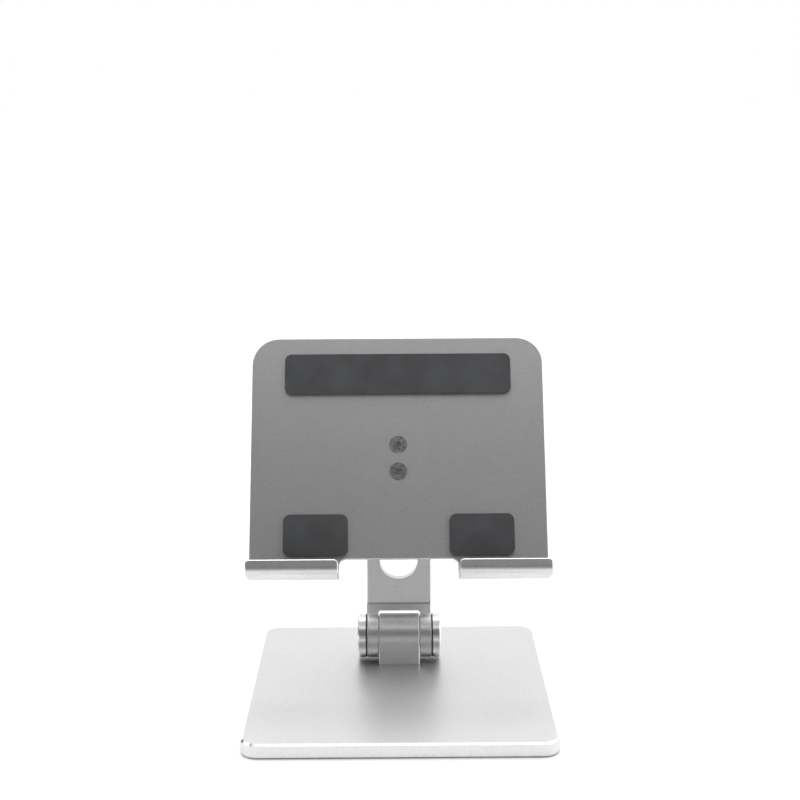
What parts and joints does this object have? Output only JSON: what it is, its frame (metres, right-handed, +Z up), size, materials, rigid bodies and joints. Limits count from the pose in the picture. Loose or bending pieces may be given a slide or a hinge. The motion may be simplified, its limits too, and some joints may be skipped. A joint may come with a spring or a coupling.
{
  "type": "tablet stand",
  "caption": "Folding metal desk stand for a tablet: square foot, one arm with a cable hole between two friction hinges, and a tray with hooks.",
  "frame": {"origin": "middle of the underside of the foot, on the desk, midway between the foot's front and rear edges", "axes": "+Z up, -Y towards the user, +X to the user's right"},
  "size_m": [0.1292, 0.126, 0.1486],
  "materials": {
    "satin_aluminium": "fine bead-blasted and clear anodised",
    "turned_aluminium": "fine-turned and clear anodised, bright",
    "black_rubber": "matt, fine grain",
    "soft_silicone": "matt silicone",
    "screw_steel": "zinc plated",
    "bush_bronze": "sintered bronze",
    "washer_nylon": "natural nylon"
  },
  "bodies": {
    "base": {"base_plate": "satin_aluminium", "foot_pad": "black_rubber", "base_screws": "screw_steel", "lower_hinge_block": "satin_aluminium", "lower_bush": "bush_bronze"},
    "arm": {"arm": "satin_aluminium", "lower_spindle": "screw_steel", "lower_lock_nut": "screw_steel", "lower_disc_springs": "screw_steel", "lower_friction_washers": "washer_nylon", "lower_seal_rings": "black_rubber", "lower_cap_left": "turned_aluminium", "lower_cap_right": "turned_aluminium", "upper_spindle": "screw_steel", "upper_lock_nut": "screw_steel", "upper_disc_springs": "screw_steel", "upper_friction_washers": "washer_nylon", "upper_seal_rings": "black_rubber", "upper_cap_left": "turned_aluminium", "upper_cap_right": "turned_aluminium"},
    "tray": {"tray_plate": "satin_aluminium", "tray_screws": "screw_steel", "hook_pad_left": "soft_silicone", "hook_pad_right": "soft_silicone", "tray_pad_top": "soft_silicone", "tray_pad_left": "soft_silicone", "tray_pad_right": "soft_silicone", "upper_hinge_block": "satin_aluminium", "upper_bush": "bush_bronze"}
  },
  "joints": [
    {"name": "lower_hinge", "type": "hinge", "parent": "base", "child": "arm", "pos_m": [0, 0.0253, 0.01695], "axis": [1, 0, 0], "range_deg": [-60, 55]},
    {"name": "upper_hinge", "type": "hinge", "parent": "arm", "child": "tray", "pos_m": [0, 0.03571, 0.09392], "axis": [1, 0, 0], "range_deg": [-160, 25]}
  ]
}
